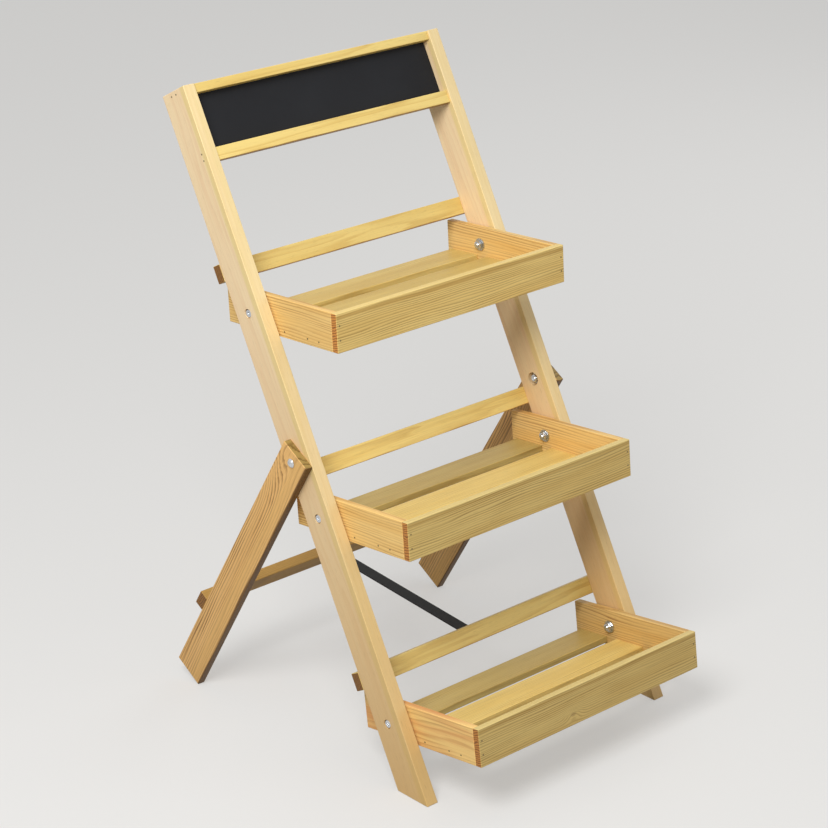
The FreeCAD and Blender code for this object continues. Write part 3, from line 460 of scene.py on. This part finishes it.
# In millimetres. THREAD_CREST, THREAD_ROOT, NUT_MOUTH, NUT_BORE and WASHER_BORE are radii, and
# NUT_WIDTH and SOCKET_WIDTH are measured across the flats.
THREAD_PITCH, THREAD_CREST, THREAD_ROOT, THREAD_RUNOUT = 1.0, 2.95, 2.45, 0.4
TIP_LENGTH, TIP_RADIUS, SHANK_RADIUS = 0.5, 2.3, 2.9
TRAY_HEAD_RADIUS, TRAY_HEAD_HEIGHT, PAN_ROUND = 5.4, 3.4, 1.0
LEG_HEAD_RADIUS, LEG_HEAD_HEIGHT, DOME_UNDERCUT, DOME_EDGE = 6.2, 3.5, 0.3, 0.25
SOCKET_WIDTH, SOCKET_DEPTH, SOCKET_POINT, BEVEL = 4.0, 2.0, 0.3, 0.15
NUT_WIDTH, NUT_HEIGHT, NUT_MOUTH, NUT_BORE, NUT_SINK = 10.0, 5.0, 3.5, 3.05, 0.4
WASHER_RADIUS, WASHER_THICKNESS, WASHER_BORE = 8.5, 1.4, 3.3

# The slope of the cone that cuts a nut's corners, and the points round each kind of piece.
NUT_CONE = 1.73
BOLT_COLUMNS, NUT_COLUMNS, WASHER_COLUMNS = 48, 72, 64

# Edges that turn by more than this stay sharp, and points closer than this, in metres, are one.
SHARP_ANGLE = math.radians(35)
SAME_POINT = 1e-7


def turned(axial, radius, centre, sign, columns):
    """A surface turned about X, which points to the side that sign gives: each row is a place
    along it, each column an angle, and the radius may differ from angle to angle as on a nut
    or a thread."""
    angles = np.linspace(0, 2 * np.pi, columns, endpoint=False)
    axial = np.broadcast_to(np.reshape(axial, (-1, 1)), (len(axial), columns))
    radius = np.asarray(radius, float)
    if radius.ndim == 1:
        radius = np.broadcast_to(radius[:, None], axial.shape)
    offset = (sign * axial, radius * np.cos(angles), sign * radius * np.sin(angles))
    return np.array(centre) + np.stack(offset, axis=-1)


def face_outwards(mesh, merge=None):
    """Turn a closed mesh's faces outwards, after points closer than merge are made one."""
    shell = bmesh.new()
    shell.from_mesh(mesh)
    if merge:
        bmesh.ops.remove_doubles(shell, verts=shell.verts, dist=merge)
    bmesh.ops.recalc_face_normals(shell, faces=shell.faces)
    shell.to_mesh(mesh)
    shell.free()


def piece(name, grids, material, replaced, ring_rows=False):
    """One piece from point grids in millimetres. Columns close round; rows close too where
    ring_rows is set, and otherwise end on the axis, where the points are merged."""
    vertices, faces, start = [], [], 0
    for grid in grids:
        rows, columns, _ = grid.shape
        index = start + np.arange(rows * columns).reshape(rows, columns)
        below = np.roll(index, -1, axis=0) if ring_rows else index[1:]
        above = index if ring_rows else index[:-1]
        quads = np.stack([above, np.roll(above, -1, 1), np.roll(below, -1, 1), below], axis=-1)
        faces.append(quads.reshape(-1, 4))
        vertices.append(grid.reshape(-1, 3))
        start += rows * columns
    mesh = bpy.data.meshes.new(name)
    mesh.from_pydata((np.concatenate(vertices) * MM).tolist(), [],
                     np.concatenate(faces).tolist())
    face_outwards(mesh, merge=SAME_POINT)
    mesh.shade_smooth()
    mesh.set_sharp_from_angle(angle=SHARP_ANGLE)
    mesh.materials.append(material)
    made = new_object(name, mesh)
    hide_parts(replaced)
    return made


def node_centre(node):
    """Middle of a node's box, in millimetres, on the plane between the two sides."""
    low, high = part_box(node)
    return (0.0, (low.y + high.y) / 2 / MM, (low.z + high.z) / 2 / MM)


def hexagon_radius(across_flats, columns):
    """Distance from the middle to a hexagon's edge at each angle."""
    angles = np.linspace(0, 2 * np.pi, columns, endpoint=False)
    return across_flats / 2 / np.cos((angles + np.pi / 6) % (np.pi / 3) - np.pi / 6)


def threaded(start, end):
    """Rows of a screw thread: a triangle wave once round for each pitch of travel."""
    rows = np.arange(start, end, THREAD_PITCH / 8)
    angles = np.linspace(0, 1, BOLT_COLUMNS, endpoint=False)
    wave = np.abs(2 * ((rows[:, None] / THREAD_PITCH - angles[None, :]) % 1.0) - 1)
    return rows, THREAD_ROOT + (THREAD_CREST - THREAD_ROOT) * wave


def bolt_grid(sign, centre, pivot, head_rows):
    """A bolt from its threaded end outward. head_rows are (axial, radius) beyond the shank, and
    a radius may be an array of one value for each angle."""
    end = pivot.bolt_end
    rows, radii = threaded(end + TIP_LENGTH, end + pivot.thread)
    plain = np.ones(BOLT_COLUMNS)
    axial = [end, end, *rows, end + pivot.thread + THREAD_RUNOUT, pivot.head_seat]
    radius = [0 * plain, TIP_RADIUS * plain, *radii, SHANK_RADIUS * plain, SHANK_RADIUS * plain]
    for place, reach in head_rows:
        axial.append(pivot.head_seat + place)
        radius.append(reach * plain)
    return turned(axial, np.array(radius), centre, sign, BOLT_COLUMNS)


def pan_head(radius, height):
    """A flat bolt head with a rounded rim and a hexagonal socket in its face."""
    rows = [(0, radius - BEVEL), (BEVEL, radius)]
    rows += [(height - PAN_ROUND + PAN_ROUND * math.sin(a),
              radius - PAN_ROUND + PAN_ROUND * math.cos(a)) for a in np.linspace(0, np.pi / 2, 7)]
    socket = hexagon_radius(SOCKET_WIDTH, BOLT_COLUMNS)
    rows += [(height, socket + BEVEL), (height - BEVEL, socket), (height - SOCKET_DEPTH, socket),
             (height - SOCKET_DEPTH - SOCKET_POINT, 0)]
    return rows


def dome_head(radius, height):
    """A mushroom head: the slice of a sphere with this rim and height."""
    ball = (radius ** 2 + height ** 2) / (2 * height)
    widest = math.asin(radius / ball)
    rows = [(0, radius - DOME_UNDERCUT), (DOME_EDGE, radius - 0.02)]
    rows += [(height - ball + ball * math.cos(a), ball * math.sin(a))
             for a in np.linspace(0.93 * widest, 0, 10)]
    return rows


def nut_grid(sign, centre, inner):
    """A hexagon nut: the flats, cut back at both faces by a cone, and a countersunk bore."""
    depth = np.array([0, 0, 0.1, 0.25, 0.45, 0.7])
    depth_rows = np.concatenate([depth, NUT_HEIGHT - depth[::-1]])
    flats = hexagon_radius(NUT_WIDTH, NUT_COLUMNS)
    from_face = np.minimum(depth_rows, NUT_HEIGHT - depth_rows)[:, None]
    radius = np.minimum(flats[None, :], NUT_WIDTH / 2 - BEVEL + NUT_CONE * from_face)
    radius[0] = radius[-1] = NUT_MOUTH
    bore = np.full((2, NUT_COLUMNS), NUT_BORE)
    axial = np.concatenate([inner + depth_rows,
                            [inner + NUT_HEIGHT - NUT_SINK, inner + NUT_SINK]])
    return turned(axial, np.concatenate([radius, bore]), centre, sign, NUT_COLUMNS)


def washer_grid(sign, centre, inner):
    """A stamped washer: a flat ring with a rolled rim on one side and a sharp one on the other."""
    axial = inner + WASHER_THICKNESS * np.array([0, 0, 0.2, 0.65, 0.92, 1, 1, 0.92, 0.08])
    rim = WASHER_RADIUS - np.array([0.1, 0, 0, 0.15, 0.5])
    reach = [WASHER_BORE + 0.2, *rim, WASHER_BORE + 0.15, WASHER_BORE, WASHER_BORE]
    return turned(axial, reach, centre, sign, WASHER_COLUMNS)


# Distances of a pivot's faces from the middle plane and the length of its thread.
Pivot = namedtuple("Pivot", "bolt_end thread head_seat nut washers")
TRAY_PIVOT = Pivot(180.3, 14, 215.0, 182.3, (187.3, 199.3))
LEG_PIVOT = Pivot(201.8, 12, 230.8, 202.6, (207.6,))


def make_pivot_hardware(bright, dull):
    pan = pan_head(TRAY_HEAD_RADIUS, TRAY_HEAD_HEIGHT)
    for tier in TIERS:
        make_pivot("tray_%s_pivot_" % tier, TRAY_PIVOT, pan, bright, dull)
    make_pivot("leg_pivot_", LEG_PIVOT, dome_head(LEG_HEAD_RADIUS, LEG_HEAD_HEIGHT), bright, dull)


def make_pivot(stem, pivot, head_rows, bright, dull):
    """The bolts, washers and nuts of both sides, one piece of each kind."""
    centre = node_centre(stem + "bolts")
    bolts = [bolt_grid(sign, centre, pivot, head_rows) for sign in SIDES]
    washers = [washer_grid(sign, centre, inner) for sign in SIDES for inner in pivot.washers]
    nuts = [nut_grid(sign, centre, pivot.nut) for sign in SIDES]
    made = [
        piece(stem + "bolt_pair", bolts, bright, stem + "bolts"),
        piece(stem + "washer_set", washers, dull, stem + "washers", ring_rows=True),
        piece(stem + "nut_pair", nuts, bright, stem + "nuts", ring_rows=True),
    ]
    for item in made:
        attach(item, "leaning_frame")


# --- Strap -------------------------------------------------------------------------------------

# Depth and height of the strap's upper face where it leaves the stop rail and where it meets
# the crossbar, in millimetres.
STRAP_RAIL = np.array((-77.298, 114.989))
STRAP_BAR = np.array((217.857, 137.549))
STRAP_WIDTH, STRAP_THICKNESS, STRAP_TAB = 20.0, 1.6, 17.0

# The radius of its bends, the distance between its rows of points, and the points in a bend.
STRAP_BEND, STRAP_STEP, BEND_POINTS = 2.6, 0.4, 13

# Its section: the power that squares its edges, how far its faces are flat, and the points
# round it. Then how much a cross yarn swells it, as a share, and how thin and how long the
# melted edge at a cut end is, as a share and in millimetres.
BAND_SQUARE, BAND_FLAT, BAND_COLUMNS = 0.55, 1.9, 28
YARN_SWELL, CUT_SHARE, CUT_LENGTH = 0.05, 0.35, 0.8


def strap_path():
    """The strap's middle line in depth and height: a tab up the rail, the straight run and a tab
    down the crossbar, each offset by half the thickness, joined by arcs. The rail's tab is
    offset away from the rail, and the others below their upper face."""
    rail_up = np.array((math.sin(LEAN), math.cos(LEAN)))
    bar_down = np.array((math.sin(LEG_ANGLE), -math.cos(LEG_ANGLE)))
    corners = [STRAP_RAIL + STRAP_TAB * rail_up, STRAP_RAIL, STRAP_BAR,
               STRAP_BAR + STRAP_TAB * bar_down]
    headings = [b - a for a, b in zip(corners, corners[1:])]
    headings = [h / np.linalg.norm(h) for h in headings]
    offsets = [STRAP_THICKNESS / 2 * turn * np.array((h[1], -h[0]))
               for turn, h in zip((-1, 1, 1), headings)]
    lines = [(corner + offset, heading)
             for corner, offset, heading in zip(corners, offsets, headings)]
    points = [lines[0][0]]
    for one, other in zip(lines, lines[1:]):
        points += corner_arc(one[1], crossing(one, other), other[1])
    points.append(corners[-1] + offsets[-1])
    return resampled(np.array(points), STRAP_STEP)


def crossing(one, other):
    """Where two lines, each a point and a heading, meet."""
    solved = np.linalg.solve(np.array([one[1], -other[1]]).T, other[0] - one[0])
    return one[0] + solved[0] * one[1]


def corner_arc(heading_in, corner, heading_out):
    """Points of the arc that rounds a corner, its tangent length set by the bend's radius."""
    turn = math.acos(float(np.clip(heading_in @ heading_out, -1, 1)))
    tangent = STRAP_BEND * math.tan(turn / 2)
    inward = heading_out - heading_in
    inward = inward / np.linalg.norm(inward)
    centre = corner + inward * STRAP_BEND / math.cos(turn / 2)
    start = corner - tangent * heading_in - centre
    sense = np.sign(heading_in[0] * heading_out[1] - heading_in[1] * heading_out[0])
    points = []
    for angle in np.linspace(0, turn, BEND_POINTS) * sense:
        c, s = math.cos(angle), math.sin(angle)
        points.append(centre + np.array((c * start[0] - s * start[1],
                                         s * start[0] + c * start[1])))
    return points


def resampled(points, step):
    """The same path as evenly spaced points."""
    lengths = np.concatenate([[0], np.cumsum(np.linalg.norm(np.diff(points, axis=0), axis=1))])
    places = np.linspace(0, lengths[-1], int(lengths[-1] / step))
    return np.stack([np.interp(places, lengths, points[:, i]) for i in (0, 1)], axis=1)


def make_strap(material):
    """Webbing carried along its path. The section is a flat rounded band, and its thickness
    swells and shrinks by a few hundredths along the run, one swelling for each cross yarn."""
    path = strap_path()
    rows = len(path)
    heading = np.gradient(path, axis=0)
    heading /= np.linalg.norm(heading, axis=1)[:, None]
    normal = np.stack([-heading[:, 1], heading[:, 0]], axis=1)
    run = np.concatenate([[0], np.cumsum(np.linalg.norm(np.diff(path, axis=0), axis=1))])
    angles = np.linspace(0, 2 * np.pi, BAND_COLUMNS, endpoint=False)
    side = np.sign(np.cos(angles)) * np.abs(np.cos(angles)) ** BAND_SQUARE * STRAP_WIDTH / 2
    flat = np.clip(BAND_FLAT * np.sin(angles), -1, 1) * STRAP_THICKNESS / 2
    yarn = 1 - YARN_SWELL + YARN_SWELL * np.cos(2 * np.pi * run / YARN_ALONG)
    ends = np.minimum(1.0, CUT_SHARE + np.minimum(run, run[-1] - run) / CUT_LENGTH)
    thick = flat[None, :] * (yarn * ends)[:, None]
    x = np.broadcast_to(side[None, :], thick.shape)
    y = path[:, 0:1] + thick * normal[:, 0:1]
    z = path[:, 1:2] + thick * normal[:, 1:2]
    grid = np.stack([x, y, z], axis=-1)
    index = np.arange(rows * BAND_COLUMNS).reshape(rows, BAND_COLUMNS)
    quads = np.stack([index[:-1], index[1:], np.roll(index[1:], -1, 1),
                      np.roll(index[:-1], -1, 1)], axis=-1).reshape(-1, 4)
    faces = quads.tolist() + [index[0].tolist(), index[-1][::-1].tolist()]
    mesh = bpy.data.meshes.new("webbing_strap")
    mesh.from_pydata((grid.reshape(-1, 3) * MM).tolist(), [], faces)
    layer = mesh.uv_layers.new(name="length_and_width")
    corner_vertices = np.empty(len(mesh.loops), np.int64)
    mesh.loops.foreach_get("vertex_index", corner_vertices)
    where = np.stack([np.broadcast_to(run[:, None], x.shape), x], axis=-1).reshape(-1, 2) * MM
    layer.data.foreach_set("uv", where[corner_vertices].astype(np.float32).ravel())
    face_outwards(mesh)
    mesh.shade_smooth()
    mesh.materials.append(material)
    strap = new_object("webbing_strap", mesh)
    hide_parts("spread_strap")
    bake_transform(strap)


# --- Stage -------------------------------------------------------------------------------------

# The pale colour behind the stand, and the share of it that the floor shows over its own
# lit surface. Then the floor's reach from the middle in metres, and the strength of the light
# that comes from all round.
PALE, PALE_SHARE = "#E9E8E6", 0.5
FLOOR_REACH = 30.0
AMBIENT = 0.44


def seen_directly(tree):
    """One for rays from the camera, off metal or through glass, and nothing for the rest."""
    seen = add(tree, "ShaderNodeLightPath").outputs
    direct = add(tree, "ShaderNodeMath", {0: seen["Is Camera Ray"], 1: seen["Is Glossy Ray"]},
                 operation="MAXIMUM").outputs[0]
    return add(tree, "ShaderNodeMath", {0: direct, 1: seen["Is Transmission Ray"]},
               operation="MAXIMUM").outputs[0]


def studio_floor():
    """A plain pale floor. It shows pale to the camera and in reflections, with the stand's
    shadow, and throws little light back up, so that undersides stay deep."""
    material, tree = new_material("studio_floor")
    direct = seen_directly(tree)
    colour = add(tree, "ShaderNodeMix", {0: direct, 6: linear("#8C8B89"), 7: linear("#E4E3E1")},
                 data_type="RGBA").outputs[2]
    lit = add(tree, "ShaderNodeBsdfDiffuse", {"Color": colour})
    pale = add(tree, "ShaderNodeEmission", {"Color": linear(PALE), "Strength": 1.0})
    share = add(tree, "ShaderNodeMath", {0: direct, 1: PALE_SHARE},
                operation="MULTIPLY").outputs[0]
    mixed = add(tree, "ShaderNodeMixShader", {0: share, 1: lit.outputs[0], 2: pale.outputs[0]})
    add(tree, "ShaderNodeOutputMaterial", {0: mixed.outputs[0]})
    return material


def make_stage():
    mesh = bpy.data.meshes.new("studio_floor")
    corners = [(x * FLOOR_REACH, y * FLOOR_REACH, 0)
               for x, y in ((-1, -1), (1, -1), (1, 1), (-1, 1))]
    mesh.from_pydata(corners, [], [(0, 1, 2, 3)])
    mesh.materials.append(studio_floor())
    floor = new_object("studio_floor", mesh)

    world = bpy.data.worlds.new("studio_air")
    world.use_nodes = True
    tree = world.node_tree
    tree.nodes.clear()
    ambient = add(tree, "ShaderNodeBackground", {0: linear("#FFFFFF"), 1: AMBIENT})
    shown = add(tree, "ShaderNodeBackground", {0: linear(PALE), 1: 1.0})
    mixed = add(tree, "ShaderNodeMixShader", {0: seen_directly(tree), 1: ambient.outputs[0],
                2: shown.outputs[0]})
    add(tree, "ShaderNodeOutputWorld", {0: mixed.outputs[0]})
    bpy.context.scene.world = world


def soft_lamp(name, place, target, size, watts):
    lamp = bpy.data.lights.new(name, "AREA")
    lamp.shape = "DISK"
    lamp.size = size
    lamp.energy = watts
    made = new_object(name, lamp)
    made.location = place
    made.rotation_euler = (Vector(target) - Vector(place)).to_track_quat("-Z", "Y").to_euler()


def make_camera():
    """The photograph's view: the lens and place were fitted to the stand's edges."""
    lens = bpy.data.cameras.new("camera")
    lens.sensor_width = 36.0
    lens.lens = 116.527
    camera = new_object("camera", lens)
    camera.location = (-2.2161, -2.3846, 1.7539)
    camera.rotation_euler = (math.radians(67.621), 0, math.radians(-42.275))
    bpy.context.scene.camera = camera


# --- Assembly ----------------------------------------------------------------------------------

make_camera()
finish_boards()

bright_zinc = zinc_plated_steel("bright_zinc", "#B9BDC2", "#E8EAEC", 0.24)
dull_zinc = zinc_plated_steel("dull_zinc", "#A9ADB1", "#DADCDE", 0.32)
brad_steel = zinc_plated_steel("brad_steel", "#75664E", "#99875F", 0.5)
refinish("chalkboard_panel", chalkboard_paint())
for name in nodes:
    if "nails" in name or "tacks" in name:
        refinish(name, brad_steel)
make_pivot_hardware(bright_zinc, dull_zinc)
make_strap(polypropylene_webbing())

# Each lamp's place, the point it is aimed at and its width are in metres, its power in watts.
make_stage()
soft_lamp("key_lamp", (-1.7, -0.9, 2.3), (0, 0, 0.45), 1.3, 58)
soft_lamp("fill_lamp", (2.0, -2.8, 1.6), (0, 0, 0.4), 2.2, 10)
soft_lamp("side_lamp", (2.8, 0.5, 1.9), (0, 0, 0.4), 2.0, 14)

bpy.context.scene.view_settings.view_transform = "Standard"
